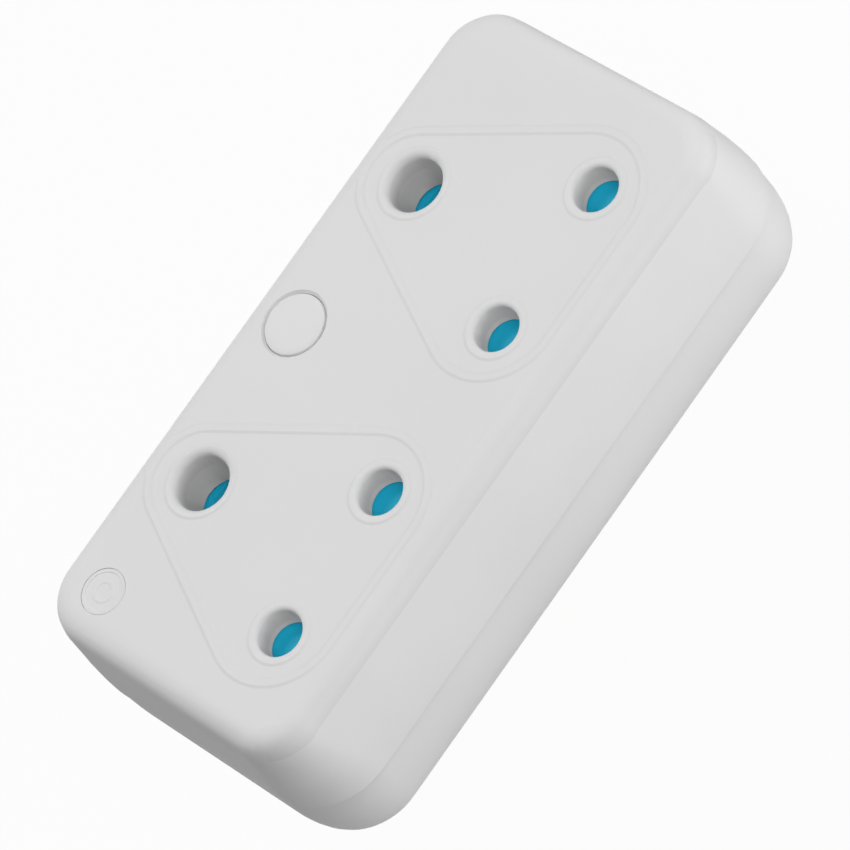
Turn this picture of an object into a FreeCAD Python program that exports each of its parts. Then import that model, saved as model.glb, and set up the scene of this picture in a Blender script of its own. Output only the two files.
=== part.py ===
import FreeCAD, Part
import math
import os

vec = FreeCAD.Vector

# Housing, overall
body_depth = 32.5
wall = 2.0
rear_wall = 2.4
top_plate = 2.6
rear_floor = 2.6

# Raised front plateau, its rounded edge and the flared skirt under it
plateau_half_x = 57.7
plateau_half_y = 27.3
plateau_corner = 8.6
edge_round = 3.7
skirt_growth_x = 1.6
skirt_growth_y = 2.6
skirt_corner_growth = 1.4
skirt_power = 1.7
skirt_steps = 4
round_steps = 6
inner_steps = 2
crease_z = body_depth - edge_round
front_depth = 18.4
parting_z = body_depth - front_depth

# Rear shell: straight band under the parting line, then an elliptical rounding to the flat back
parting_step_x = 0.05
parting_step_y = 0.6
rear_half_x = plateau_half_x + skirt_growth_x - parting_step_x
rear_half_y = plateau_half_y + skirt_growth_y - parting_step_y
rear_corner = 12.5
rear_round_inset = 2.7
rear_inner_inset = 2.2
rear_band = 5.3
rear_round_height = parting_z - rear_band
rear_corner_shrink = 3.6

# Rim of the rear cover inside the front cover, with its snap barbs
rim_height = 3.0
rim_thickness = 1.4
rim_clearance = 0.1
rim_seat = 6.1
rim_root = parting_z - rim_seat
barb_level = 0.9
barb_lip = 0.4
barb_offset_y = 14.0
barb_width = 5.0
barb_reach = 0.5
barb_height = 1.6
barb_clearance = 0.15

# Three-hole pattern, earth above, live on the +X side
socket_shift = 1.35
socket_x = plateau_half_x / 2 - socket_shift
pattern_y = 0.46
live_spacing = 25.4
earth_offset = 28.6
earth_y = pattern_y + earth_offset / 2
live_y = pattern_y - earth_offset / 2
live_x = live_spacing / 2
socket_centres = [-socket_x, socket_x]

# Plug pins and the entries that take them
live_pin_r = 3.525
live_pin_length = 18.6
live_tip_round = 2.2
earth_pin_r = 4.35
earth_pin_length = 28.6
earth_tip_round = 2.4
pin_collar = 0.6
pin_collar_depth = 1.2
pin_collar_clearance = 0.05
live_entry_r = 3.7
earth_entry_r = 4.5
live_entry_lip = 0.65
earth_entry_lip = 1.2
collar_rise = 0.1
collar_slope = 0.4
sleeve_step = 0.5
live_collar_r = 5.4
earth_collar_r = 6.35
earth_sleeve_depth = 9.0
earth_sleeve_z = body_depth - earth_sleeve_depth

# Raised outline round each three-hole pattern
bead_width = 1.8
bead_rise = 0.1
bead_soft = 0.45
bead_low_x = 10.5
bead_low_y = pattern_y - 12.26
bead_low_r = 11.8
bead_high_y = pattern_y + 15.24
bead_high_r = 9.3

# Screw seat, cap and column
plug_shift = 17.3
plug_earth_y = pattern_y + plug_shift
plug_live_y = plug_earth_y - earth_offset
cap_seat_r = 5.3
cap_seat_bevel = 0.4
cap_seat_depth = 1.2
cap_r = 5.2
cap_dome = 0.12
cap_rim_round = 0.45
cap_stem_clearance = 0.05
cap_stem_length = 4.2
cap_stem_wall = 0.9
column_r = 5.6
counterbore_r = 4.0
screw_ledge_top = 12.0
screw_ledge = 2.0
screw_r = 2.0
screw_hole_r = 2.15
screw_head_r = 3.6
screw_head_height = 2.4
screw_head_round = 1.0
screw_reach_z = -4.0
cross_arm = 1.9
cross_half = 0.4
cross_depth = 1.5
bore_end = 0.6
bore_cone = 1.2

# Round recess in one corner of the face
recess_inset_x = 8.5
recess_inset_y = 9.6
recess_x = recess_inset_x - plateau_half_x
recess_y = plateau_half_y - recess_inset_y
recess_r = 3.85
recess_depth = 0.25

# Bars on the rear floor, roots of the plug pins
bar_thickness = 1.2
bar_top = rear_floor + bar_thickness
live_neck_r = 2.4
rivet_r = 4.0
rivet_height = 0.9
rivet_bevel = 1.0
earth_neck_r = 3.0
earth_neck_z = 9.0
neck_clearance = 0.05
thread_clearance = 0.05
bar_width = 4.8
live_bar_inset = 7.3
earth_bar_inset = 7.4
neutral_bar_low = -2.8
earth_bar_low = 9.3
live_bar_y = [live_bar_inset - rear_half_y, live_bar_inset - rear_half_y + bar_width]
neutral_bar_y = [neutral_bar_low, neutral_bar_low + bar_width]
earth_bar_y = [earth_bar_low, rear_half_y - earth_bar_inset]
bar_overhang = 4.2
bar_corner = 1.0
tab_width = 9.4
peg_half = 1.1
peg_rise = 0.9
peg_clearance = 0.1
peg_near = 6.8
peg_far = 8.2
peg_earth = 13.5

# Split contact sleeves with their tails
contact_wall = 0.85
live_contact_r = live_pin_r + 0.005
earth_contact_r = earth_pin_r + 0.01
contact_length = 11.0
earth_contact_gap = 0.3
slit = 1.2
tail_width = 5.0
tail_thickness = 0.8
tail_lap = 1.6
tail_bridge_rise = 0.85
foot_inset = 1.8
foot_length = 2.8

# Contact carrier on its posts
carrier_depth = 9.0
carrier_thickness = 1.8
carrier_bottom = body_depth - carrier_depth
carrier_top = carrier_bottom + carrier_thickness
live_contact_bottom = carrier_bottom - contact_length
tail_bridge_z = (bar_top + live_contact_bottom) / 2 + tail_bridge_rise
carrier_inset = 5.96
carrier_y = [carrier_inset - plateau_half_y - pattern_y, 8.0]
carrier_corner = 3.0
pin_hole_clearance = 0.25
chamber_wall = 1.3
chamber_clearance = 0.15
chamber_length = 8.5
chamber_bottom = carrier_bottom - chamber_length
guide_thickness = 1.2
guide_height = 2.0
guide_clearance = 0.3
post_half = 2.2
post_web = 0.6
post_x = 13.0
post_high_y = 5.5
post_low_y = -12.0
spigot_r = 1.2
spigot_clearance = 0.1
spigot_rise = 1.4

# Shutter that slides to +Y when the earth pin pushes its ramp
shutter_travel = 7.4
shutter_depth = 6.9
shutter_bottom = body_depth - shutter_depth
shutter_thickness = 2.0
shutter_top = shutter_bottom + shutter_thickness
shutter_low_y = -18.0
shutter_high_y = -10.5
shutter_half_x = 17.4
guide_margin = 2.2
carrier_half_x = shutter_half_x + guide_margin
arm_inner_x = 6.3
arm_outer_x = 8.3
arm_end_y = 17.0
ramp_low_y = 11.4
ramp_high_y = 18.9
ramp_low_depth = 17.0
ramp_top_depth = 9.3
ramp_bottom = body_depth - ramp_low_depth
ramp_top = body_depth - ramp_top_depth
ramp_toe = 0.5
earth_contact_top = ramp_bottom - earth_contact_gap
ramp_flat = 1.5
ramp_thickness = 2.4
entry_gap = 0.2
live_entry_low = shutter_top + entry_gap
stop_gap = 0.05
stop_half_x = 6.0
stop_thickness = 1.6
pocket_clearance = 0.4

# Shutter spring, along Y, between a boss on the shutter and a rib of the front cover
spring_depth = 4.9
spring_z = body_depth - spring_depth
spring_r = 1.75
spring_wire_r = 0.22
spring_turns = 7
spring_steps = 10
spring_sides = 5
spring_seat_half_x = 3.0
spring_seat_thickness = 1.5
spring_rib_y = 7.0
spring_rib_thickness = 2.2
spring_core_r = 1.15
spring_core_length = 1.5
spring_gap = 0.05

# Barriers of the rear cover and stiffening ribs of the front cover
barrier_thickness = 1.2
barrier_height = 6.0
barrier_gap_y = 1.0
barrier_low_y = live_bar_y[1] + barrier_gap_y
barrier_high_y = 6.0
barrier_inset = 10.25
barrier_half_x = rear_half_x - barrier_inset
barrier_gap = [7.2, 18.2]
cross_rib_thickness = 1.2
rib_depth = 11.5
end_rib_depth = 7.5
end_rib_inset = 6.7
end_rib_x = plateau_half_x - end_rib_inset
rib_low_z = body_depth - rib_depth
end_rib_low_z = body_depth - end_rib_depth
merge = 0.5


# Basic solids
def box(x, y, z):
    return Part.makeBox(x[1] - x[0], y[1] - y[0], z[1] - z[0], vec(x[0], y[0], z[0]))


def disc(x, y, radius, low, high):
    return Part.makeCylinder(radius, high - low, vec(x, y, low))


def tube(x, y, inner, outer, low, high):
    return disc(x, y, outer, low, high).cut(disc(x, y, inner, low - 1, high + 1))


def turned(points, x, y):
    # Solid of revolution about a Z axis at x, y
    wire = Part.makePolygon([vec(radius, 0, z) for radius, z in points + [points[0]]])
    solid = Part.Face(wire).revolve(vec(0, 0, 0), vec(0, 0, 1), 360)
    solid.translate(vec(x, y, 0))
    return solid


def rounding(centre, radius, start_deg, steps=4):
    # Points of a quarter round that begins at the given angle, in even steps
    points = []
    for step in range(steps + 1):
        a = math.radians(start_deg + 90 * step / steps)
        points.append((centre[0] + radius * math.cos(a), centre[1] + radius * math.sin(a)))
    return points


# Rounded rectangle with four lines and four arcs, always in the same order
def rounded_wire(half_x, half_y, radius, z):
    edges = []
    corners = [(1, 1, 0), (-1, 1, 90), (-1, -1, 180), (1, -1, 270)]
    starts = []
    for sign_x, sign_y, angle in corners:
        centre = vec(sign_x * (half_x - radius), sign_y * (half_y - radius), z)
        points = []
        for turn in (0, 45, 90):
            a = math.radians(angle + turn)
            points.append(centre + vec(radius * math.cos(a), radius * math.sin(a), 0))
        starts.append(points)
    for index, points in enumerate(starts):
        following = starts[(index + 1) % 4]
        edges.append(Part.Arc(points[0], points[1], points[2]).toShape())
        edges.append(Part.makeLine(points[2], following[0]))
    return Part.Wire(edges)


def slab(half_x, half_y, radius, low, high):
    face = Part.Face(rounded_wire(half_x, half_y, radius, low))
    return face.extrude(vec(0, 0, high - low))


# Stack of rounded outlines joined by ruled bands
def banded(sizes):
    return Part.makeLoft([rounded_wire(*size) for size in sizes], True, True)


# Front form: flared skirt up to the crease, then the rounded edge of the plateau
def skirt_size(z):
    part = max(0.0, min(1.0, (crease_z - z) / (crease_z - parting_z)))
    growth = 1 - (1 - part) ** skirt_power
    half_x = plateau_half_x + skirt_growth_x * growth
    half_y = plateau_half_y + skirt_growth_y * growth
    return half_x, half_y, plateau_corner + skirt_corner_growth * growth


def front_form(inset, top):
    sizes = []
    for step in range(skirt_steps + 1):
        z = parting_z + (crease_z - parting_z) * step / skirt_steps
        half_x, half_y, radius = skirt_size(z)
        sizes.append((half_x - inset, half_y - inset, radius - inset, z))
    half_x, half_y, radius, low = sizes[-1]
    edge = edge_round - inset
    if top - edge > low + 0.01:
        sizes.append((half_x, half_y, radius, top - edge))
    rise = min(edge, top - low)
    steps = round_steps if inset == 0 else inner_steps
    for step in range(1, steps + 1):
        a = math.radians(90 * step / steps)
        shrink = edge * (1 - math.cos(a))
        sizes.append((half_x - shrink, half_y - shrink, radius - shrink, top - rise + rise * math.sin(a)))
    return banded(sizes)


# Rear form: straight under the parting line, then an elliptical round to the flat back
def rear_form(inset, bottom):
    half_x, half_y, corner = rear_half_x - inset, rear_half_y - inset, rear_corner - inset
    height = rear_round_height - bottom
    run = rear_inner_inset if inset else rear_round_inset
    sizes = [(half_x, half_y, corner, parting_z)]
    steps = inner_steps if inset else round_steps
    for step in range(steps + 1):
        a = math.radians(90 * step / steps)
        bend = 1 - math.cos(a)
        sizes.append((half_x - run * bend, half_y - run * bend, corner - rear_corner_shrink * bend,
                      rear_round_height - height * math.sin(a)))
    return banded(sizes)


# Outline tangent to three circles, one round each hole
def hull_wire(circles, z):
    tangents = []
    count = len(circles)
    for index in range(count):
        x1, y1, r1 = circles[index]
        x2, y2, r2 = circles[(index + 1) % count]
        length = math.hypot(x2 - x1, y2 - y1)
        dx, dy = (x2 - x1) / length, (y2 - y1) / length
        lean = (r1 - r2) / length
        level = math.sqrt(1 - lean * lean)
        normal = (dy * level + dx * lean, -dx * level + dy * lean)
        start = vec(x1 + r1 * normal[0], y1 + r1 * normal[1], z)
        end = vec(x2 + r2 * normal[0], y2 + r2 * normal[1], z)
        tangents.append((start, end, normal))
    edges = []
    for index in range(count):
        start, end, normal = tangents[index]
        after_start, after_end, after_normal = tangents[(index + 1) % count]
        x, y, radius = circles[(index + 1) % count]
        way = vec(normal[0] + after_normal[0], normal[1] + after_normal[1], 0).normalize()
        edges.append(Part.makeLine(start, end))
        edges.append(Part.Arc(end, vec(x, y, z) + way * radius, after_start).toShape())
    return Part.Wire(edges)


def bead_face(centre_x, inset, z):
    circles = [(centre_x + bead_low_x, bead_low_y, bead_low_r - inset),
               (centre_x, bead_high_y, bead_high_r - inset),
               (centre_x - bead_low_x, bead_low_y, bead_low_r - inset)]
    return hull_wire(circles, z)


def bead(centre_x):
    # Low ridge with soft shoulders, which follows the rounded edge where it crosses it
    outer = []
    inner = []
    for shift, rise in ((0, 0), (bead_soft, 1.0)):
        outer.append(bead_face(centre_x, shift, body_depth + bead_rise * rise))
        inner.append(bead_face(centre_x, bead_width - shift, body_depth + bead_rise * rise))
    foot = body_depth - 0.5
    outer.insert(0, bead_face(centre_x, 0, foot))
    inner.insert(0, bead_face(centre_x, bead_width, foot))
    ridge = Part.makeLoft(outer, True, True).cut(Part.makeLoft(inner, True, True))
    return ridge.common(front_form(0, body_depth + bead_rise))


# The six entries: place, radius, collar, lip, and the level where the sleeve ends
def entry_list():
    entries = []
    for centre_x in socket_centres:
        for side in (-1, 1):
            entries.append((centre_x + side * live_x, live_y, live_entry_r, live_collar_r,
                            live_entry_lip, live_entry_low))
        entries.append((centre_x, earth_y, earth_entry_r, earth_collar_r, earth_entry_lip,
                        earth_sleeve_z))
    return entries


def entry_sleeve(x, y, collar, low):
    top = body_depth + collar_rise
    sleeve = collar - sleeve_step
    under = body_depth - merge
    return turned([(0, low), (sleeve, low), (sleeve, under), (collar, under), (collar, body_depth),
                   (collar - collar_slope, top), (0, top)], x, y)


def entry_cutter(x, y, radius, lip, low):
    top = body_depth + collar_rise
    arc = [(x_arc, 2 * (top - lip) - z_arc)
           for x_arc, z_arc in rounding((radius + lip, top - lip), lip, 180, 3)]
    return turned([(0, low - 1), (radius, low - 1)] + arc + [(radius + lip, top + 1), (0, top + 1)],
                  x, y)


# Front cover
def column():
    low = bar_top
    ledge_low = screw_ledge_top - screw_ledge
    body = disc(0, plug_earth_y, column_r, low, body_depth - 0.5)
    cuts = [disc(0, plug_earth_y, counterbore_r, screw_ledge_top, body_depth + 1),
            disc(0, plug_earth_y, screw_hole_r, ledge_low - 1, screw_ledge_top + 1),
            disc(0, plug_earth_y, earth_neck_r + neck_clearance, low - 1, ledge_low)]
    return body, cuts


def cross_post(x, y, low, high):
    # Post of two crossed webs
    long, thin = post_half, post_web
    return [box((x - long, x + long), (y - thin, y + thin), (low, high)),
            box((x - thin, x + thin), (y - long, y + long), (low, high))]


def cover_fittings(centre_x):
    under = body_depth - top_plate + merge
    solids = []
    for side in (-1, 1):
        solids += cross_post(centre_x + side * post_x, pattern_y + post_high_y, carrier_top, under)
    stop_y = pattern_y + shutter_low_y - stop_gap
    solids.append(box((centre_x - stop_half_x, centre_x + stop_half_x),
                      (stop_y - stop_thickness, stop_y), (carrier_top, under)))
    rib_y = pattern_y + spring_rib_y
    solids.append(box((centre_x - spring_seat_half_x, centre_x + spring_seat_half_x),
                      (rib_y, rib_y + spring_rib_thickness), (shutter_bottom - merge / 5, under)))
    solids.append(Part.makeCylinder(spring_core_r, spring_core_length,
                                    vec(centre_x, rib_y, spring_z), vec(0, -1, 0)))
    return solids


def cover_ribs():
    under = body_depth - top_plate + merge
    half_y = plateau_half_y - wall + 0.4
    thin = cross_rib_thickness / 2
    ribs = [box((-thin, thin), (-half_y, plug_earth_y - counterbore_r - 0.8), (rib_low_z, under))]
    for side in (-1, 1):
        x = side * end_rib_x
        ribs.append(box((x - thin, x + thin), (-half_y + 4, half_y - 4), (end_rib_low_z, under)))
    return ribs


def rim_size():
    half_x, half_y, radius = skirt_size(parting_z + rim_height)
    inset = wall + rim_clearance
    return half_x - inset, half_y - inset, radius - inset


def barb_list(grow):
    half_x = rim_size()[0]
    low = parting_z + barb_level
    barbs = []
    for end in (-1, 1):
        for side in (-1, 1):
            near = half_x - 0.5
            far = half_x + barb_reach + grow
            y = side * barb_offset_y
            half = barb_width / 2 + grow
            points = [vec(end * near, y - half, low - grow), vec(end * far, y - half, low - grow),
                      vec(end * far, y - half, low + barb_lip + grow),
                      vec(end * near, y - half, low + barb_height + grow)]
            face = Part.Face(Part.makePolygon(points + [points[0]]))
            barbs.append(face.extrude(vec(0, 2 * half, 0)))
    return barbs


def front_cover():
    body = front_form(0, body_depth)
    cavity = front_form(wall, body_depth - top_plate)
    half_x, half_y, radius = skirt_size(parting_z)
    below = slab(half_x - wall, half_y - wall, radius - wall, parting_z - 2, parting_z)
    body = body.cut([cavity, below])
    stem, stem_cuts = column()
    added = [stem] + cover_ribs()
    seat = turned([(0, body_depth - cap_seat_depth), (cap_seat_r, body_depth - cap_seat_depth),
                   (cap_seat_r, body_depth - cap_seat_bevel), (cap_seat_r + cap_seat_bevel, body_depth),
                   (cap_seat_r + cap_seat_bevel, body_depth + 1), (0, body_depth + 1)], 0, plug_earth_y)
    cuts = stem_cuts + [seat,
                        disc(recess_x, recess_y, recess_r, body_depth - recess_depth, body_depth + 1)]
    reach = arm_outer_x + pocket_clearance
    pocket_y = pattern_y + ramp_high_y + shutter_travel + pocket_clearance
    for centre_x in socket_centres:
        added.append(bead(centre_x))
        added += cover_fittings(centre_x)
        cuts.append(box((centre_x - reach, centre_x + reach), (pocket_y - 3, pocket_y),
                        (parting_z + rim_height, ramp_top + pocket_clearance)))
    for x, y, radius, collar, lip, low in entry_list():
        added.append(entry_sleeve(x, y, collar, low))
        cuts.append(entry_cutter(x, y, radius, lip, low))
    return body.fuse(added).cut(cuts + barb_list(barb_clearance)).removeSplitter()


# Rear cover
def post_places(centre_x):
    return [(centre_x, pattern_y + post_low_y), (centre_x - post_x, pattern_y + post_high_y),
            (centre_x + post_x, pattern_y + post_high_y)]


def contact_places(name):
    side = 1 if name == "live" else -1
    return [centre_x + side * live_x for centre_x in socket_centres]


def bar_pegs():
    live_xs, neutral_xs = contact_places("live"), contact_places("neutral")
    live_middle = sum(live_bar_y) / 2
    neutral_middle = sum(neutral_bar_y) / 2
    earth_middle = sum(earth_bar_y) / 2
    return {"live": [(live_xs[0] + peg_near, live_middle), (live_xs[1] - peg_far, live_middle)],
            "neutral": [(neutral_xs[0] + peg_far, neutral_middle), (neutral_xs[1] - peg_near, neutral_middle)],
            "earth": [(peg_earth - socket_x, earth_middle), (socket_x - peg_earth, earth_middle)]}


def square(x, y, half, low, high):
    return box((x - half, x + half), (y - half, y + half), (low, high))


def plug_pins():
    return {"live": (live_x, plug_live_y), "neutral": (-live_x, plug_live_y),
            "earth": (0, plug_earth_y)}


def rear_cover():
    body = rear_form(0, 0)
    opening = slab(rear_half_x - rear_wall, rear_half_y - rear_wall, rear_corner - rear_wall,
                   parting_z, parting_z + 1)
    body = body.cut([rear_form(rear_wall, rear_floor), opening])
    half_x, half_y, radius = rim_size()
    top = parting_z + rim_height
    rim = slab(half_x, half_y, radius, rim_root, top)
    hollow = slab(half_x - rim_thickness, half_y - rim_thickness, radius - rim_thickness,
                  rim_root - 1, top + 1)
    rim = rim.common(slab(rear_half_x - 0.5, rear_half_y - 0.5, rear_corner - 0.5, rim_root, top))
    floor = rear_floor - 0.4
    added = [rim.cut(hollow)] + barb_list(0)
    for centre_x in socket_centres:
        for x, y in post_places(centre_x):
            added += cross_post(x, y, floor, carrier_bottom)
            added.append(disc(x, y, spigot_r, carrier_bottom - merge, carrier_bottom + spigot_rise))
    for places in bar_pegs().values():
        for x, y in places:
            added.append(square(x, y, peg_half, floor, bar_top + peg_rise))
    high = rear_floor + barrier_height
    for y in (barrier_low_y, barrier_high_y):
        gaps = [barrier_gap] if y == barrier_low_y else []
        start = -barrier_half_x
        for gap in gaps:
            added.append(box((start, gap[0]), (y, y + barrier_thickness), (floor, high)))
            start = gap[1]
        added.append(box((start, barrier_half_x), (y, y + barrier_thickness), (floor, high)))
    cuts = []
    for name, (x, y) in plug_pins().items():
        neck = earth_neck_r if name == "earth" else live_neck_r
        collar = pin_collar + (earth_pin_r if name == "earth" else live_pin_r)
        cuts.append(disc(x, y, neck + neck_clearance, -1, rear_floor + 1))
        cuts.append(disc(x, y, collar + pin_collar_clearance, -1, pin_collar_depth))
    return body.fuse(added).cut(cuts).removeSplitter()


# Cap over the screw: slightly domed disc with a hollow stem
def screw_cap():
    low = body_depth - cap_seat_depth
    stem_r = counterbore_r - cap_stem_clearance
    bore_r = stem_r - cap_stem_wall
    stem_low = low - cap_stem_length
    shoulder = rounding((cap_r - cap_rim_round, body_depth - cap_rim_round), cap_rim_round, 0, 2)
    dome = [(cap_r * 0.55, body_depth + cap_dome * 0.7), (0, body_depth + cap_dome)]
    return turned([(0, low), (bore_r, low), (bore_r, stem_low), (stem_r, stem_low), (stem_r, low),
                   (cap_r, low)] + shoulder + dome, 0, plug_earth_y)


# Centre screw with a cross recess in its head
def centre_screw():
    head_top = screw_ledge_top + screw_head_height
    soft = rounding((screw_head_r - screw_head_round, head_top - screw_head_round), screw_head_round, 0, 3)
    body = turned([(0, screw_reach_z), (screw_r, screw_reach_z), (screw_r, screw_ledge_top),
                   (screw_head_r, screw_ledge_top)] + soft + [(0, head_top)], 0, plug_earth_y)
    slots = []
    for long_x, long_y in ((cross_arm, cross_half), (cross_half, cross_arm)):
        slots.append(box((-long_x, long_x), (plug_earth_y - long_y, plug_earth_y + long_y),
                         (head_top - cross_depth, head_top + 1)))
    return body.cut(slots).removeSplitter()


# Plug pins, turned, each with a rounded tip, a collar flush with the back face and a neck through the floor
def pin_body(radius, length, tip_round, neck):
    tip = rounding((radius - tip_round, tip_round - length), tip_round, -90, 3)
    collar = radius + pin_collar
    return [(0, -length)] + tip + [(radius, 0), (collar, 0), (collar, pin_collar_depth), (neck, pin_collar_depth)]


def live_plug_pin(x):
    shank = pin_body(live_pin_r, live_pin_length, live_tip_round, live_neck_r)
    head_top = bar_top + rivet_height
    head = [(live_neck_r, bar_top), (rivet_r, bar_top), (rivet_r - rivet_bevel, head_top), (0, head_top)]
    return turned(shank + head, x, plug_live_y)


def earth_plug_pin():
    shank = pin_body(earth_pin_r, earth_pin_length, earth_tip_round, earth_neck_r)
    bored = screw_r + thread_clearance
    end = screw_reach_z - bore_end
    socket = [(earth_neck_r, earth_neck_z), (bored, earth_neck_z), (bored, end), (0, end - bore_cone)]
    return turned(shank + socket, 0, plug_earth_y)


# Bars between the contacts and the plug pins
def bar_plate(x, y):
    plate = box(x, y, (rear_floor, bar_top))
    uprights = [edge for edge in plate.Edges if edge.BoundBox.ZLength > bar_thickness / 2]
    return plate.makeFillet(bar_corner, uprights)


def live_bar(name):
    low, high = live_bar_y if name == "live" else neutral_bar_y
    xs = contact_places(name)
    plate = bar_plate((min(xs) - bar_overhang, max(xs) + bar_overhang), (low, high))
    pin_x, pin_y = plug_pins()[name]
    if name == "live":
        tab_y = (high - 1.5, pin_y + rivet_r)
    else:
        tab_y = (pin_y - rivet_r, low + 1.5)
    tab = bar_plate((pin_x - tab_width / 2, pin_x + tab_width / 2), tab_y)
    holes = [disc(pin_x, pin_y, live_neck_r + neck_clearance, 0, bar_top + 1)]
    for x, y in bar_pegs()[name]:
        holes.append(square(x, y, peg_half + peg_clearance, 0, bar_top + 1))
    return plate.fuse(tab).cut(holes).removeSplitter()


def earth_bar():
    reach = socket_x + earth_contact_r + contact_wall + 1
    plate = bar_plate((-reach, reach), earth_bar_y)
    holes = [disc(0, plug_earth_y, earth_neck_r + neck_clearance, 0, bar_top + 1)]
    for centre_x in socket_centres:
        holes.append(disc(centre_x, earth_y, earth_contact_r, 0, bar_top + 1))
    for x, y in bar_pegs()["earth"]:
        holes.append(square(x, y, peg_half + peg_clearance, 0, bar_top + 1))
    return plate.cut(holes)


# Contacts: split sleeves, the live and neutral ones with a tail down to their bar
def split_sleeve(x, y, inner, low, high, slit_side):
    sleeve = tube(x, y, inner, inner + contact_wall, low, high)
    reach = sorted([y, y + slit_side * (inner + 2)])
    return sleeve.cut(box((x - slit / 2, x + slit / 2), reach, (low - 1, high + 1)))


def live_contact(centre_x, name):
    way = -1 if name == "live" else 1
    x = centre_x - way * live_x
    sleeve = split_sleeve(x, live_y, live_contact_r, live_contact_bottom, carrier_bottom, -way)
    near = live_y + way * (live_contact_r + contact_wall - tail_thickness)
    upper = live_contact_bottom + tail_lap
    bar_y = live_bar_y if name == "live" else neutral_bar_y
    across = (x - tail_width / 2, x + tail_width / 2)
    if name == "live":
        drop = near
        pieces = [box(across, sorted((near, near + way * tail_thickness)), (bar_top, upper))]
    else:
        drop = bar_y[0] + 1.2
        pieces = [box(across, sorted((near, near + way * tail_thickness)), (tail_bridge_z, upper)),
                  box(across, sorted((near, drop + tail_thickness)),
                      (tail_bridge_z, tail_bridge_z + tail_thickness)),
                  box(across, sorted((drop, drop + tail_thickness)), (bar_top, tail_bridge_z + 0.4))]
    end = bar_y[0] + foot_inset if name == "live" else drop + foot_length
    pieces.append(box(across, sorted((drop, end)), (bar_top, bar_top + tail_thickness)))
    return sleeve.fuse(pieces).removeSplitter()


def earth_contact(centre_x):
    return split_sleeve(centre_x, earth_y, earth_contact_r, bar_top, earth_contact_top, 1)


# Contact carrier: plate with a square chamber round each live or neutral contact and guides for the shutter
def contact_carrier(centre_x):
    low, high = pattern_y + carrier_y[0], pattern_y + carrier_y[1]
    middle, half_y = (low + high) / 2, (high - low) / 2
    plate = slab(carrier_half_x, half_y, carrier_corner, carrier_bottom, carrier_top)
    plate.translate(vec(centre_x, middle, 0))
    chamber = live_contact_r + contact_wall + chamber_clearance
    added = []
    cuts = []
    for side in (-1, 1):
        x = centre_x + side * live_x
        added.append(square(x, live_y, chamber + chamber_wall, chamber_bottom, carrier_bottom + merge))
        cuts.append(disc(x, live_y, live_pin_r + pin_hole_clearance, carrier_bottom - 1, carrier_top + 1))
        cuts.append(square(x, live_y, chamber, chamber_bottom - 1, carrier_bottom))
        inner = shutter_half_x + guide_clearance
        guide = sorted((centre_x + side * inner, centre_x + side * (inner + guide_thickness)))
        added.append(box(guide, (pattern_y + shutter_low_y - 1, pattern_y + shutter_high_y + shutter_travel),
                         (carrier_top - merge, carrier_top + guide_height)))
    for x, y in post_places(centre_x):
        cuts.append(disc(x, y, spigot_r + spigot_clearance, carrier_bottom - 1, carrier_top + 1))
    return plate.fuse(added).cut(cuts).removeSplitter()


# Shutter: two plates on a web, two arms, and a ramp block that the earth pin pushes
def shutter(centre_x):
    level = (shutter_bottom, shutter_top)
    low, high = pattern_y + shutter_low_y, pattern_y + shutter_high_y
    plates = box((centre_x - shutter_half_x, centre_x + shutter_half_x), (low, high), level)
    uprights = [edge for edge in plates.Edges if edge.BoundBox.ZLength > 1]
    plates = plates.makeFillet(1.0, uprights)
    pieces = []
    for side in (-1, 1):
        across = sorted((centre_x + side * arm_inner_x, centre_x + side * arm_outer_x))
        pieces.append(box(across, (high - 1, pattern_y + arm_end_y), level))
        pieces.append(box(across, (pattern_y + ramp_low_y, pattern_y + arm_end_y),
                          (ramp_bottom, shutter_top)))
    start, end = pattern_y + ramp_low_y, pattern_y + ramp_high_y
    points = [vec(0, start, ramp_bottom), vec(0, start + ramp_thickness, ramp_bottom),
              vec(0, end, ramp_top - ramp_thickness), vec(0, end, ramp_top),
              vec(0, end - ramp_flat, ramp_top), vec(0, start, ramp_bottom + ramp_toe)]
    ramp = Part.Face(Part.makePolygon(points + [points[0]])).extrude(vec(2 * arm_outer_x, 0, 0))
    ramp.translate(vec(centre_x - arm_outer_x, 0, 0))
    pieces.append(ramp)
    seat_x = (centre_x - spring_seat_half_x, centre_x + spring_seat_half_x)
    pieces.append(box(seat_x, (high - spring_seat_thickness, high), (shutter_bottom, spring_z + 2)))
    pieces.append(Part.makeCylinder(spring_core_r, spring_core_length, vec(centre_x, high, spring_z),
                                    vec(0, 1, 0)))
    return plates.fuse(pieces).removeSplitter()


# Compression spring along Y: five-sided sections set round the helix and joined by a ruled loft
def shutter_spring(centre_x):
    start = pattern_y + shutter_high_y + spring_gap + spring_wire_r
    end = pattern_y + spring_rib_y - spring_gap - spring_wire_r
    steps = spring_turns * spring_steps
    sections = []
    for step in range(steps + 1):
        turn = 2 * math.pi * step / spring_steps
        along = start + (end - start) * step / steps
        points = []
        for side in range(spring_sides):
            lean = 2 * math.pi * side / spring_sides
            reach = spring_r + spring_wire_r * math.cos(lean)
            points.append(vec(centre_x + reach * math.cos(turn), along + spring_wire_r * math.sin(lean),
                              spring_z + reach * math.sin(turn)))
        sections.append(Part.makePolygon(points + [points[0]]))
    return Part.makeLoft(sections, True, True)


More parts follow.
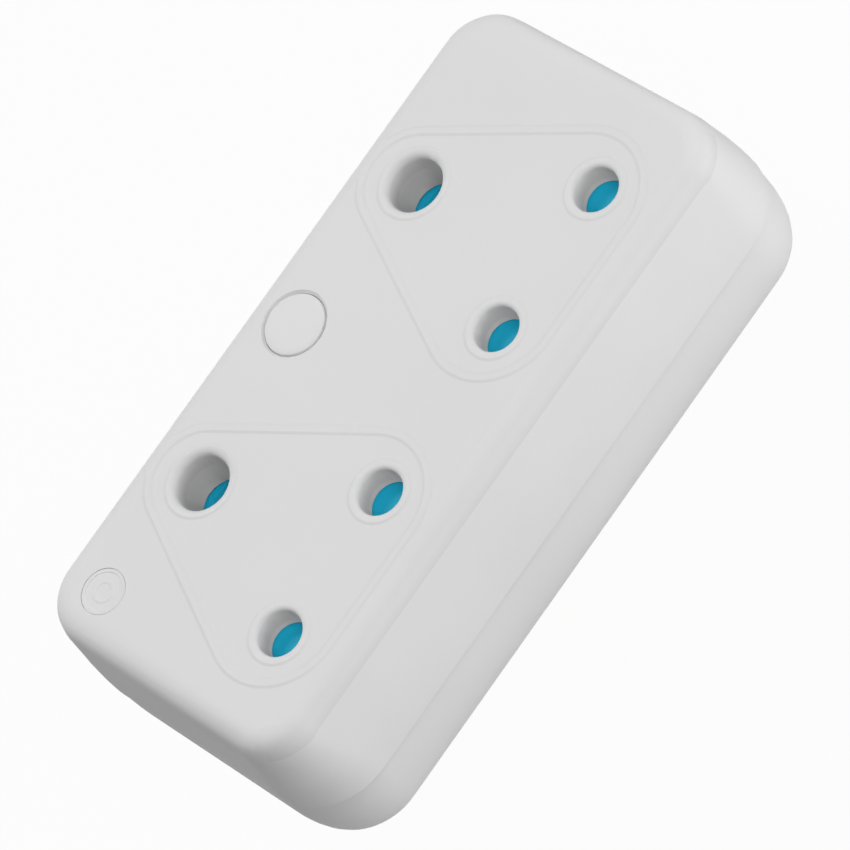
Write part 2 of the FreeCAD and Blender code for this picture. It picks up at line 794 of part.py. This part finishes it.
def all_nodes():
    nodes = {"front_cover": front_cover(), "rear_cover": rear_cover(), "screw_cap": screw_cap(),
             "centre_screw": centre_screw(), "earth_bar": earth_bar(), "earth_pin": earth_plug_pin(),
             "live_bar": live_bar("live"), "neutral_bar": live_bar("neutral"),
             "live_pin": live_plug_pin(live_x), "neutral_pin": live_plug_pin(-live_x)}
    for number, centre_x in enumerate(socket_centres, 1):
        nodes["shutter_%d" % number] = shutter(centre_x)
        nodes["shutter_spring_%d" % number] = shutter_spring(centre_x)
        nodes["contact_carrier_%d" % number] = contact_carrier(centre_x)
        nodes["earth_contact_%d" % number] = earth_contact(centre_x)
        nodes["live_contact_%d" % number] = live_contact(centre_x, "live")
        nodes["neutral_contact_%d" % number] = live_contact(centre_x, "neutral")
    return nodes


os.makedirs("parts", exist_ok=True)
for node_name, shape in all_nodes().items():
    if len(shape.Solids) != 1 or not shape.isValid():
        print("check", node_name, "solids", len(shape.Solids), "valid", shape.isValid())
    solid = shape.Solids[0] if len(shape.Solids) == 1 else shape
    solid.exportStep("parts/%s.step" % node_name)
    span = solid.BoundBox
    print(node_name, round(span.XLength, 2), round(span.YLength, 2), round(span.ZLength, 2),
          "volume", round(solid.Volume, 1))
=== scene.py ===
import math

import bpy
from mathutils import Matrix, Vector


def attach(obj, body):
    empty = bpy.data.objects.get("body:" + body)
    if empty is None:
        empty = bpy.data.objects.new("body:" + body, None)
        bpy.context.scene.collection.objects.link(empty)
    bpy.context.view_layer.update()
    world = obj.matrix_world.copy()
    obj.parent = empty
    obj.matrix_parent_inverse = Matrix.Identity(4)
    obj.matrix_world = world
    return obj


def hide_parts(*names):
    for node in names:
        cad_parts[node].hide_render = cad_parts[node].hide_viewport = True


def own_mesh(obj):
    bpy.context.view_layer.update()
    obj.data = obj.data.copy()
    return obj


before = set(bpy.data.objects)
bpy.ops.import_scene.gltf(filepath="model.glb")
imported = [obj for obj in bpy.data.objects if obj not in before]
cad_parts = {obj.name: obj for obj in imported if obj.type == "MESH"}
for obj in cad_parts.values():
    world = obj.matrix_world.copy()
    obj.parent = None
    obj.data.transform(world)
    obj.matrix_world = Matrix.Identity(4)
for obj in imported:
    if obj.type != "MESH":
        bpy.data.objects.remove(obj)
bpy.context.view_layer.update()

scene = bpy.context.scene
scene.view_settings.view_transform = "Standard"
print("frame loaded:", len(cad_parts), "nodes")


def deselectAll():
    if bpy.context.object and bpy.context.object.mode != "OBJECT":
        bpy.ops.object.mode_set(mode="OBJECT")
    bpy.ops.object.select_all(action="DESELECT")


def nodeObject(name):
    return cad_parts[name]


def finishPiece(piece, name, body, material):
    deselectAll()
    piece.select_set(True)
    bpy.context.view_layer.objects.active = piece
    bpy.ops.object.transform_apply(location=True, rotation=True, scale=True)
    piece.name = name
    piece.data.materials.clear()
    piece.data.materials.append(material)
    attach(piece, body)


# camera: the long side runs from lower left to upper right of the picture
cameraSetup = {
    "position": (-0.10016, -0.61174, 0.80315),
    "right": (0.57699, -0.67886, -0.45413),
    "down": (-0.81071, -0.40849, -0.41939),
    "forward": (0.0992, 0.61015, -0.78605),
    "focalPixels": 6681.5,
    "picturePixels": 850,
    "sensorWidth": 36,
    "clipStart": 0.01,
    "clipEnd": 20,
}


def makeCamera():
    data = bpy.data.cameras.new("photoCamera")
    camera = bpy.data.objects.new("photoCamera", data)
    scene.collection.objects.link(camera)
    right = Vector(cameraSetup["right"]).normalized()
    back = -Vector(cameraSetup["forward"]).normalized()
    up = back.cross(right).normalized()
    turn = Matrix((right, up, back)).transposed().to_4x4()
    camera.matrix_world = Matrix.Translation(cameraSetup["position"]) @ turn
    data.sensor_width = cameraSetup["sensorWidth"]
    data.lens = cameraSetup["focalPixels"] / cameraSetup["picturePixels"] * data.sensor_width
    data.clip_start = cameraSetup["clipStart"]
    data.clip_end = cameraSetup["clipEnd"]
    scene.camera = camera


makeCamera()


# studio: pale floor under the pins and soft lamps: direction, distance, size and power of each
studio = {
    "floorHeight": -0.0287,
    "floorSize": 6.0,
    "floorColour": (0.55, 0.55, 0.55, 1),
    "seenWhite": 0.96,
    "worldStrength": 0.0,
    "aim": (0, 0, 0.016),
    "lamps": {
        "sideLamp": ((1.0, -1.0, 0.15), 0.7, 0.5, 2.6),
        "frontLamp": ((0.0, -1.0, 0.05), 1.3, 1.0, 5.4),
        "highLamp": ((0.0, -1.0, 1.8), 1.3, 1.0, 7.3),
        "upperLamp": ((0.0, 1.0, 1.0), 1.3, 1.0, 12.5),
    },
}


def mathNode(tree, operation, source, value):
    node = tree.nodes.new("ShaderNodeMath")
    node.operation = operation
    tree.links.new(source, node.inputs[0])
    if isinstance(value, float):
        node.inputs[1].default_value = value
    else:
        tree.links.new(value, node.inputs[1])
    return node.outputs[0]


def seenDirectly(tree):
    # 1 for rays from the camera, from a glossy surface or through a clear one
    path = tree.nodes.new("ShaderNodeLightPath").outputs
    either = mathNode(tree, "MAXIMUM", path["Is Camera Ray"], path["Is Glossy Ray"])
    return mathNode(tree, "MAXIMUM", either, path["Is Transmission Ray"])


def makeFloor():
    deselectAll()
    bpy.ops.mesh.primitive_plane_add(size=studio["floorSize"], location=(0, 0, studio["floorHeight"]))
    floor = bpy.context.object
    floor.name = "studioFloor"
    material = bpy.data.materials.new("paleFloor")
    material.use_nodes = True
    tree = material.node_tree
    plain = tree.nodes["Principled BSDF"]
    plain.inputs["Base Color"].default_value = studio["floorColour"]
    plain.inputs["Roughness"].default_value = 0.9
    plain.inputs["Specular IOR Level"].default_value = 0.0
    glow = tree.nodes.new("ShaderNodeEmission")
    glow.inputs["Color"].default_value = (1, 1, 1, 1)
    glow.inputs["Strength"].default_value = 1.0
    mix = tree.nodes.new("ShaderNodeMixShader")
    tree.links.new(mathNode(tree, "MULTIPLY", seenDirectly(tree), studio["seenWhite"]), mix.inputs["Fac"])
    tree.links.new(plain.outputs["BSDF"], mix.inputs[1])
    tree.links.new(glow.outputs["Emission"], mix.inputs[2])
    tree.links.new(mix.outputs["Shader"], tree.nodes["Material Output"].inputs["Surface"])
    floor.data.materials.append(material)


def makeWorld():
    world = bpy.data.worlds.new("studioWorld")
    scene.world = world
    world.use_nodes = True
    tree = world.node_tree
    light = tree.nodes["Background"]
    light.inputs["Color"].default_value = (1, 1, 1, 1)
    light.inputs["Strength"].default_value = studio["worldStrength"]
    white = tree.nodes.new("ShaderNodeBackground")
    white.inputs["Color"].default_value = (1, 1, 1, 1)
    white.inputs["Strength"].default_value = 1.0
    mix = tree.nodes.new("ShaderNodeMixShader")
    tree.links.new(seenDirectly(tree), mix.inputs["Fac"])
    tree.links.new(light.outputs["Background"], mix.inputs[1])
    tree.links.new(white.outputs["Background"], mix.inputs[2])
    tree.links.new(mix.outputs["Shader"], tree.nodes["World Output"].inputs["Surface"])


def makeLamp(name, direction, distance, size, power):
    way = Vector(direction).normalized()
    data = bpy.data.lights.new(name, "AREA")
    data.shape = "DISK"
    data.size = size
    data.energy = power
    lamp = bpy.data.objects.new(name, data)
    scene.collection.objects.link(lamp)
    lamp.location = Vector(studio["aim"]) + way * distance
    lamp.rotation_euler = way.to_track_quat("Z", "Y").to_euler()


makeFloor()
makeWorld()
for lampName, lampValues in studio["lamps"].items():
    makeLamp(lampName, *lampValues)
print("camera, floor and lamps ready")


# shared effects
def newSocket(tree, name, inOut, kind, value=None):
    socket = tree.interface.new_socket(name=name, in_out=inOut, socket_type="NodeSocket" + kind)
    if value is not None:
        socket.default_value = value
    return socket


def makeGrainGroup():
    # moulded surface: a fine grain with broad soft waves, given as a height and as a tone
    tree = bpy.data.node_groups.new("mouldedGrain", "ShaderNodeTree")
    newSocket(tree, "Grain Scale", "INPUT", "Float", 900.0)
    newSocket(tree, "Wave Scale", "INPUT", "Float", 35.0)
    newSocket(tree, "Wave Share", "INPUT", "Float", 0.5)
    newSocket(tree, "Height", "OUTPUT", "Float")
    newSocket(tree, "Tone", "OUTPUT", "Float")
    inside = tree.nodes.new("NodeGroupInput")
    outside = tree.nodes.new("NodeGroupOutput")
    place = tree.nodes.new("ShaderNodeTexCoord")
    grain = tree.nodes.new("ShaderNodeTexNoise")
    grain.inputs["Detail"].default_value = 3.0
    wave = tree.nodes.new("ShaderNodeTexNoise")
    wave.inputs["Detail"].default_value = 2.0
    mix = tree.nodes.new("ShaderNodeMix")
    mix.data_type = "FLOAT"
    tree.links.new(place.outputs["Object"], grain.inputs["Vector"])
    tree.links.new(place.outputs["Object"], wave.inputs["Vector"])
    tree.links.new(inside.outputs["Grain Scale"], grain.inputs["Scale"])
    tree.links.new(inside.outputs["Wave Scale"], wave.inputs["Scale"])
    tree.links.new(inside.outputs["Wave Share"], mix.inputs[0])
    tree.links.new(grain.outputs["Fac"], mix.inputs[2])
    tree.links.new(wave.outputs["Fac"], mix.inputs[3])
    tree.links.new(mix.outputs[0], outside.inputs["Height"])
    tree.links.new(wave.outputs["Fac"], outside.inputs["Tone"])
    return tree


def makeBrushGroup():
    # fine marks drawn out along one direction, as from turning or rolling
    tree = bpy.data.node_groups.new("toolMarks", "ShaderNodeTree")
    newSocket(tree, "Stretch", "INPUT", "Vector", (1.0, 1.0, 1.0))
    newSocket(tree, "Scale", "INPUT", "Float", 400.0)
    newSocket(tree, "Marks", "OUTPUT", "Float")
    newSocket(tree, "Stain", "OUTPUT", "Float")
    inside = tree.nodes.new("NodeGroupInput")
    outside = tree.nodes.new("NodeGroupOutput")
    place = tree.nodes.new("ShaderNodeTexCoord")
    stretch = tree.nodes.new("ShaderNodeVectorMath")
    stretch.operation = "MULTIPLY"
    marks = tree.nodes.new("ShaderNodeTexNoise")
    marks.inputs["Detail"].default_value = 4.0
    stain = tree.nodes.new("ShaderNodeTexNoise")
    stain.inputs["Scale"].default_value = 120.0
    stain.inputs["Detail"].default_value = 5.0
    tree.links.new(place.outputs["Object"], stretch.inputs[0])
    tree.links.new(inside.outputs["Stretch"], stretch.inputs[1])
    tree.links.new(stretch.outputs[0], marks.inputs["Vector"])
    tree.links.new(inside.outputs["Scale"], marks.inputs["Scale"])
    tree.links.new(place.outputs["Object"], stain.inputs["Vector"])
    tree.links.new(marks.outputs["Fac"], outside.inputs["Marks"])
    tree.links.new(stain.outputs["Fac"], outside.inputs["Stain"])
    return tree


mouldedGrain = makeGrainGroup()
toolMarks = makeBrushGroup()


def colourRamp(tree, source, low, high, start=0.3, end=0.7):
    ramp = tree.nodes.new("ShaderNodeValToRGB")
    ramp.color_ramp.elements[0].position = start
    ramp.color_ramp.elements[1].position = end
    ramp.color_ramp.elements[0].color = (*low, 1)
    ramp.color_ramp.elements[1].color = (*high, 1)
    tree.links.new(source, ramp.inputs["Fac"])
    return ramp.outputs["Color"]


def spread(tree, source, low, high):
    scale = tree.nodes.new("ShaderNodeMapRange")
    scale.inputs["From Min"].default_value = 0.3
    scale.inputs["From Max"].default_value = 0.7
    scale.inputs["To Min"].default_value = low
    scale.inputs["To Max"].default_value = high
    tree.links.new(source, scale.inputs["Value"])
    return scale.outputs["Result"]


def bumpFrom(tree, source, strength, distance):
    bump = tree.nodes.new("ShaderNodeBump")
    bump.inputs["Strength"].default_value = strength
    bump.inputs["Distance"].default_value = distance
    tree.links.new(source, bump.inputs["Height"])
    return bump.outputs["Normal"]


# finishes
plasticShine = {"IOR": 1.5, "Specular IOR Level": 0.22}
plasticFinishes = {
    "whiteShell": {"low": (0.735, 0.735, 0.735), "high": (0.765, 0.765, 0.765), "rough": (0.56, 0.64),
                   "grain": 1500.0, "wave": 30.0, "share": 0.35, "bump": 0.12, "depth": 0.00004,
                   # painted shade: the slopes of the raised outlines and the fold under the long edges are
                   # darker in the base colour
                   "faceLevel": 0.03245, "slope": (0.9675, 0.985), "paintedCreaseShade": 0.962,
                   "fold": (0.0288, 0.0314), "paintedFoldShade": 0.93, "foldLean": 0.3, "foldMargin": 0.00001},
    "whiteCap": {"low": (0.745, 0.745, 0.745), "high": (0.775, 0.775, 0.775), "rough": (0.52, 0.60),
                 "grain": 1500.0, "wave": 60.0, "share": 0.35, "bump": 0.12, "depth": 0.00004},
    "shutterBlue": {"low": (0.004, 0.44, 0.68), "high": (0.008, 0.50, 0.76), "rough": (0.34, 0.44),
                    "grain": 1200.0, "wave": 90.0, "share": 0.4, "bump": 0.10, "depth": 0.00003,
                    "bounce": (0.62, 0.62, 0.62)},
    "naturalNylon": {"low": (0.62, 0.60, 0.53), "high": (0.70, 0.68, 0.61), "rough": (0.45, 0.58),
                     "grain": 900.0, "wave": 70.0, "share": 0.5, "bump": 0.15, "depth": 0.00004},
}
metalFinishes = {
    "turnedBrass": {"low": (0.63, 0.46, 0.22), "high": (0.74, 0.57, 0.30), "rough": (0.22, 0.32),
                    "stretch": (1.0, 1.0, 14.0), "scale": 160.0, "bump": 0.03, "depth": 0.00002},
    "rolledBrass": {"low": (0.62, 0.42, 0.17), "high": (0.78, 0.57, 0.26), "rough": (0.26, 0.42),
                    "stretch": (1.0, 9.0, 9.0), "scale": 160.0, "bump": 0.10, "depth": 0.00002},
    "platedSteel": {"low": (0.56, 0.56, 0.57), "high": (0.68, 0.68, 0.69), "rough": (0.20, 0.34),
                    "stretch": (1.0, 1.0, 1.0), "scale": 500.0, "bump": 0.08, "depth": 0.00002},
}


def toned(tree, colour, mask, tone):
    mix = tree.nodes.new("ShaderNodeMix")
    mix.data_type = "RGBA"
    mix.blend_type = "MULTIPLY"
    mix.inputs["B"].default_value = (tone, tone, tone, 1)
    tree.links.new(mask, mix.inputs["Factor"])
    tree.links.new(colour, mix.inputs["A"])
    return mix.outputs["Result"]


def paintedCreaseShade(tree, colour, look):
    # painted shade: the narrow slopes of the raised outlines and the fold under the long edges are darkened
    # in the base colour, in place of shading that the shape and lamps don't give
    place = tree.nodes.new("ShaderNodeTexCoord")
    point = tree.nodes.new("ShaderNodeSeparateXYZ")
    shape = tree.nodes.new("ShaderNodeNewGeometry")
    lean = tree.nodes.new("ShaderNodeSeparateXYZ")
    tree.links.new(place.outputs["Object"], point.inputs[0])
    tree.links.new(shape.outputs["True Normal"], lean.inputs[0])
    height, steep = point.outputs["Z"], lean.outputs["Z"]
    # painted shade on the narrow slopes of the raised outlines, picked by height and by the lean of the face
    slope = mathNode(tree, "MULTIPLY", mathNode(tree, "GREATER_THAN", height, look["faceLevel"]),
                     mathNode(tree, "MULTIPLY", mathNode(tree, "LESS_THAN", steep, look["slope"][1]),
                              mathNode(tree, "GREATER_THAN", steep, look["slope"][0])))
    # painted shade in the fold: darkest at the crease and fading out up the rounded edge, on the long sides
    # only
    fade = tree.nodes.new("ShaderNodeMapRange")
    fade.interpolation_type = "SMOOTHSTEP"
    fade.inputs["From Min"].default_value = look["fold"][1]
    fade.inputs["From Max"].default_value = look["fold"][0]
    tree.links.new(height, fade.inputs["Value"])
    sideways = mathNode(tree, "MULTIPLY", lean.outputs["Y"], lean.outputs["Y"])
    side = mathNode(tree, "GREATER_THAN", sideways, look["foldLean"])
    above = mathNode(tree, "GREATER_THAN", height, look["fold"][0] - look["foldMargin"])
    fold = mathNode(tree, "MULTIPLY", fade.outputs["Result"], mathNode(tree, "MULTIPLY", side, above))
    return toned(tree, toned(tree, colour, slope, look["paintedCreaseShade"]), fold, look["paintedFoldShade"])


def quietBounce(tree, colour, look):
    # in the light that it throws on the white walls round it, the colour is nearly grey
    path = tree.nodes.new("ShaderNodeLightPath")
    tone = tree.nodes.new("ShaderNodeMix")
    tone.data_type = "RGBA"
    tone.inputs["B"].default_value = (*look["bounce"], 1)
    tree.links.new(path.outputs["Is Diffuse Ray"], tone.inputs["Factor"])
    tree.links.new(colour, tone.inputs["A"])
    return tone.outputs["Result"]


def makePlastic(name):
    look = plasticFinishes[name]
    material = bpy.data.materials.new(name)
    material.use_nodes = True
    tree = material.node_tree
    surface = tree.nodes["Principled BSDF"]
    grain = tree.nodes.new("ShaderNodeGroup")
    grain.node_tree = mouldedGrain
    grain.inputs["Grain Scale"].default_value = look["grain"]
    grain.inputs["Wave Scale"].default_value = look["wave"]
    grain.inputs["Wave Share"].default_value = look["share"]
    colour = colourRamp(tree, grain.outputs["Tone"], look["low"], look["high"])
    # painted shade on the white shell's outline slopes and in the fold under its long edges
    if "paintedCreaseShade" in look:
        colour = paintedCreaseShade(tree, colour, look)
    if "bounce" in look:
        colour = quietBounce(tree, colour, look)
    tree.links.new(colour, surface.inputs["Base Color"])
    tree.links.new(spread(tree, grain.outputs["Tone"], *look["rough"]), surface.inputs["Roughness"])
    tree.links.new(bumpFrom(tree, grain.outputs["Height"], look["bump"], look["depth"]),
                   surface.inputs["Normal"])
    for socketName, value in plasticShine.items():
        surface.inputs[socketName].default_value = value
    return material


def makeMetal(name):
    look = metalFinishes[name]
    material = bpy.data.materials.new(name)
    material.use_nodes = True
    tree = material.node_tree
    surface = tree.nodes["Principled BSDF"]
    marks = tree.nodes.new("ShaderNodeGroup")
    marks.node_tree = toolMarks
    marks.inputs["Stretch"].default_value = look["stretch"]
    marks.inputs["Scale"].default_value = look["scale"]
    tree.links.new(colourRamp(tree, marks.outputs["Stain"], look["low"], look["high"]),
                   surface.inputs["Base Color"])
    tree.links.new(spread(tree, marks.outputs["Marks"], *look["rough"]), surface.inputs["Roughness"])
    tree.links.new(bumpFrom(tree, marks.outputs["Marks"], look["bump"], look["depth"]),
                   surface.inputs["Normal"])
    surface.inputs["Metallic"].default_value = 1.0
    return material


finish = {name: makePlastic(name) for name in plasticFinishes}
finish.update({name: makeMetal(name) for name in metalFinishes})

nodeFinish = {
    "front_cover": "whiteShell", "rear_cover": "whiteShell", "screw_cap": "whiteCap",
    "centre_screw": "platedSteel",
    "earth_bar": "rolledBrass", "live_bar": "rolledBrass", "neutral_bar": "rolledBrass",
    "earth_pin": "turnedBrass", "live_pin": "turnedBrass", "neutral_pin": "turnedBrass",
}
for outlet in ("1", "2"):
    nodeFinish["shutter_" + outlet] = "shutterBlue"
    nodeFinish["shutter_spring_" + outlet] = "platedSteel"
    nodeFinish["contact_carrier_" + outlet] = "naturalNylon"
    for pole in ("earth", "live", "neutral"):
        nodeFinish[pole + "_contact_" + outlet] = "rolledBrass"

for name, finishName in nodeFinish.items():
    node = nodeObject(name)
    for slot in node.material_slots:
        slot.material = finish[finishName]
print("finishes on", len(nodeFinish), "nodes")


# smooth versions of the turned and moulded pieces: the bands of their curves run into one another
smoothing = {
    "mergeDistance": 0.000002,
    "bandAngle": 34.0,
    "areaWeight": 50,
    "levelTolerance": 0.000003,
    "footTolerance": 0.00001,
    "sharpTolerance": 0.00013,
    "cornerTolerance": 0.0001,
    "cornerMargin": 0.000002,
    "nodes": {"front_cover": ("frontShell", "white_shell"), "rear_cover": ("rearShell", "white_shell"),
              "screw_cap": ("screwPlug", "white_shell"), "earth_pin": ("earthPlugPin", "brass"),
              "live_pin": ("livePlugPin", "brass"), "neutral_pin": ("neutralPlugPin", "brass")},
}
# front moulding: its rounded edge is a little squarer than a quarter circle, over a clear crease
frontForm = {
    "outsideX": 0.0538,
    "outsideY": 0.0234,
    "edgeRings": {0.0320043: 0.00012, 0.0314163: 0.00016, 0.03065: 0.00014, 0.0297576: 0.00004},
    "creaseLevel": 0.0288,
    "creaseOnSide": -0.00014,
    "creaseElsewhere": 0.00016,
    "sideX": 0.0493,
    "plateau": (0.0577, 0.0273, 0.0086),
    "skirtGrowth": (0.0016, 0.0026, 0.0014),
    "skirtPower": 1.7,
    "skirtLevels": (0.025125, 0.02145, 0.017775, 0.0141),
    "cornerEase": 0.0020,
    "creases": (0.0141,),
    "faceLevels": (0.0325, 0.0326),
    "lips": [(side * 0.0275 + across * 0.0127, 0.00046 - 0.0143, 0.0045)
             for side in (-1, 1) for across in (-1, 1)]
            + [(side * 0.0275, 0.00046 + 0.0143, 0.0058) for side in (-1, 1)],
}
rearForm = {"creases": (0.0141,)}


def onFace(point):
    return abs(point.x) < frontForm["outsideX"] and abs(point.y) < frontForm["outsideY"]


def onSide(point):
    return abs(point.x) < frontForm["sideX"] and abs(point.y) > frontForm["outsideY"]


def sameLevel(height, level):
    return abs(height - level) < smoothing["levelTolerance"]


def shiftRing(piece, level, distance, place):
    # one outline of the rounded edge moves along its normals
    deselectAll()
    piece.select_set(True)
    bpy.context.view_layer.objects.active = piece
    bpy.ops.object.mode_set(mode="EDIT")
    bpy.ops.mesh.select_mode(type="VERT")
    bpy.ops.mesh.select_all(action="DESELECT")
    bpy.ops.object.mode_set(mode="OBJECT")
    for vertex in piece.data.vertices:
        vertex.select = sameLevel(vertex.co.z, level) and not onFace(vertex.co) and place(vertex.co)
    bpy.ops.object.mode_set(mode="EDIT")
    bpy.ops.transform.shrink_fatten(value=distance)
    bpy.ops.object.mode_set(mode="OBJECT")


def easeCorner(piece, level, sideX, sideY):
    # the corners of the skirt open towards the parting line, to the radius of the rear moulding
    halfX, halfY, corner = frontForm["plateau"]
    growX, growY, growCorner = frontForm["skirtGrowth"]
    crease = frontForm["creaseLevel"]
    depth = (crease - level) / (crease - frontForm["skirtLevels"][-1])
    growth = 1 - (1 - depth) ** frontForm["skirtPower"]
    radius = corner + growCorner * growth
    more = frontForm["cornerEase"] * growth
    centreX = sideX * (halfX + growX * growth - radius)
    centreY = sideY * (halfY + growY * growth - radius)
    bpy.ops.object.mode_set(mode="EDIT")
    bpy.ops.mesh.select_all(action="DESELECT")
    bpy.ops.object.mode_set(mode="OBJECT")
    for vertex in piece.data.vertices:
        acrossX = (vertex.co.x - centreX) * sideX
        acrossY = (vertex.co.y - centreY) * sideY
        reach = math.hypot(acrossX, acrossY)
        vertex.select = sameLevel(vertex.co.z, level) and min(acrossX, acrossY) > -smoothing["cornerMargin"] \
            and abs(reach - radius) < smoothing["cornerTolerance"]
    bpy.ops.object.mode_set(mode="EDIT")
    bpy.ops.transform.resize(value=((radius + more) / radius, (radius + more) / radius, 1),
                             center_override=(centreX, centreY, level))
    bpy.ops.transform.translate(value=(-sideX * more, -sideY * more, 0))
    bpy.ops.object.mode_set(mode="OBJECT")


def shapeFront(piece):
    for level, distance in frontForm["edgeRings"].items():
        shiftRing(piece, level, distance, lambda point: True)
    level = frontForm["creaseLevel"]
    shiftRing(piece, level, frontForm["creaseElsewhere"], lambda point: not onSide(point))
    shiftRing(piece, level, frontForm["creaseOnSide"], onSide)
    for level in frontForm["skirtLevels"]:
        for sideX in (-1, 1):
            for sideY in (-1, 1):
                easeCorner(piece, level, sideX, sideY)


def inLip(point):
    return any(math.hypot(point.x - x, point.y - y) < reach for x, y, reach in frontForm["lips"])


def atLevel(ends, levels):
    return any(all(abs(end.z - level) < smoothing["sharpTolerance"] for end in ends) for level in levels)


def keepCreases(piece, levels, faceLevels):
    # edges that stay sharp: round the outside at the creases, and along the feet of the raised outlines
    bpy.ops.object.mode_set(mode="EDIT")
    bpy.ops.mesh.select_mode(type="EDGE")
    bpy.ops.mesh.select_all(action="DESELECT")
    bpy.ops.object.mode_set(mode="OBJECT")
    for edge in piece.data.edges:
        ends = [piece.data.vertices[index].co for index in edge.vertices]
        if all(onFace(end) for end in ends):
            flat = sameLevel(ends[0].z, ends[1].z)
            atFoot = any(abs(ends[0].z - level) < smoothing["footTolerance"] for level in faceLevels)
            edge.select = flat and atFoot and not all(inLip(end) for end in ends)
        else:
            creased = all(onSide(end) for end in ends) and atLevel(ends, (frontForm["creaseLevel"],))
            edge.select = creased or atLevel(ends, levels)
    bpy.ops.object.mode_set(mode="EDIT")
    bpy.ops.mesh.mark_sharp()
    bpy.ops.mesh.select_mode(type="VERT")
    bpy.ops.object.mode_set(mode="OBJECT")


def smoothVersion(nodeName, pieceName):
    node = nodeObject(nodeName)
    piece = node.copy()
    piece.data = node.data.copy()
    scene.collection.objects.link(piece)
    deselectAll()
    piece.select_set(True)
    bpy.context.view_layer.objects.active = piece
    bpy.ops.mesh.customdata_custom_splitnormals_clear()
    bpy.ops.object.mode_set(mode="EDIT")
    bpy.ops.mesh.select_all(action="SELECT")
    bpy.ops.mesh.remove_doubles(threshold=smoothing["mergeDistance"])
    bpy.ops.object.mode_set(mode="OBJECT")
    if nodeName == "front_cover":
        shapeFront(piece)
    bpy.ops.object.shade_smooth_by_angle(angle=math.radians(smoothing["bandAngle"]))
    if nodeName == "front_cover":
        keepCreases(piece, frontForm["creases"], frontForm["faceLevels"])
    if nodeName == "rear_cover":
        keepCreases(piece, rearForm["creases"], ())
    bpy.ops.object.modifier_add(type="WEIGHTED_NORMAL")
    weigh = piece.modifiers[-1]
    weigh.mode = "FACE_AREA"
    weigh.weight = smoothing["areaWeight"]
    weigh.keep_sharp = True
    bpy.ops.object.modifier_apply(modifier=weigh.name)
    finishPiece(piece, pieceName, "housing", finish[nodeFinish[nodeName]])
    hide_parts(nodeName)
    return piece


for nodeName, (pieceName, slotName) in smoothing["nodes"].items():
    smoothVersion(nodeName, pieceName)
print("smooth pieces:", len(smoothing["nodes"]))


# round field in the recess near one end: a rim, a lower floor and a small ring, all plain
field = {"centre": (-0.0492, 0.0177), "radius": 0.00374, "low": 0.03215, "high": 0.03244, "sides": 72,
         "bandAngle": 20,
         "steps": ((0.00050, 0.0), (0.00012, -0.00009), (0.00120, 0.0), (0.00014, 0.00007), (0.00034, 0.0),
                   (0.00014, -0.00007))}


def makeField():
    deselectAll()
    x, y = field["centre"]
    middle = (field["low"] + field["high"]) / 2
    bpy.ops.mesh.primitive_cylinder_add(vertices=field["sides"], radius=field["radius"],
                                        depth=field["high"] - field["low"], location=(x, y, middle))
    piece = bpy.context.object
    bpy.ops.object.transform_apply(location=True, rotation=True, scale=True)
    bpy.ops.object.mode_set(mode="EDIT")
    bpy.ops.mesh.select_mode(type="FACE")
    bpy.ops.mesh.select_all(action="DESELECT")
    bpy.ops.object.mode_set(mode="OBJECT")
    for face in piece.data.polygons:
        face.select = face.normal.z > 0.9
    bpy.ops.object.mode_set(mode="EDIT")
    for width, rise in field["steps"]:
        bpy.ops.mesh.inset(thickness=width, depth=rise)
    bpy.ops.mesh.select_mode(type="VERT")
    bpy.ops.object.mode_set(mode="OBJECT")
    bpy.ops.object.shade_smooth_by_angle(angle=math.radians(field["bandAngle"]))
    finishPiece(piece, "roundField", "housing", finish["whiteShell"])


makeField()
print("round field ready")


# return springs of the shutters: a wound wire between the shutter and the rib of the front moulding.
# Its ends lie on both of them, 0.05 mm past the ends of the CAD spring
coil = {"centreX": 0.0275, "level": 0.0276, "low": -0.00982, "high": 0.00724, "turns": 7, "reach": 0.00166,
        "wire": 0.00022, "wireSides": 10, "stepsPerTurn": 30, "keep": 0.57,
        "bandAngle": 50}


def makeCoil(side, outlet):
    deselectAll()
    bpy.ops.mesh.primitive_circle_add(vertices=coil["wireSides"], radius=coil["wire"],
                                      location=(coil["reach"], 0, 0))
    piece = bpy.context.object
    bpy.ops.object.transform_apply(location=True, rotation=True, scale=True)
    bpy.ops.object.modifier_add(type="SCREW")
    winding = piece.modifiers[-1]
    winding.axis = "Y"
    winding.angle = math.tau
    winding.iterations = coil["turns"]
    winding.screw_offset = (coil["high"] - coil["low"]) / coil["turns"]
    winding.steps = coil["stepsPerTurn"]
    winding.render_steps = coil["stepsPerTurn"]
    bpy.ops.object.modifier_apply(modifier=winding.name)
    bpy.ops.object.mode_set(mode="EDIT")
    bpy.ops.mesh.select_all(action="SELECT")
    bpy.ops.mesh.remove_doubles(threshold=smoothing["mergeDistance"])
    bpy.ops.mesh.fill_holes(sides=coil["wireSides"])
    bpy.ops.mesh.select_all(action="SELECT")
    bpy.ops.mesh.normals_make_consistent(inside=False)
    bpy.ops.object.mode_set(mode="OBJECT")
    place = (side * coil["centreX"], coil["low"], coil["level"])
    piece.location = place
    bpy.ops.object.transform_apply(location=True, rotation=True, scale=True)
    bpy.ops.object.shade_smooth_by_angle(angle=math.radians(coil["bandAngle"]))
    nodeName = "shutter_spring_" + outlet
    finishPiece(piece, "coilSpring" + outlet, "housing", finish[nodeFinish[nodeName]])
    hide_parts(nodeName)
    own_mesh(piece)


for side, outlet in ((-1, "1"), (1, "2")):
    makeCoil(side, outlet)
print("springs ready")
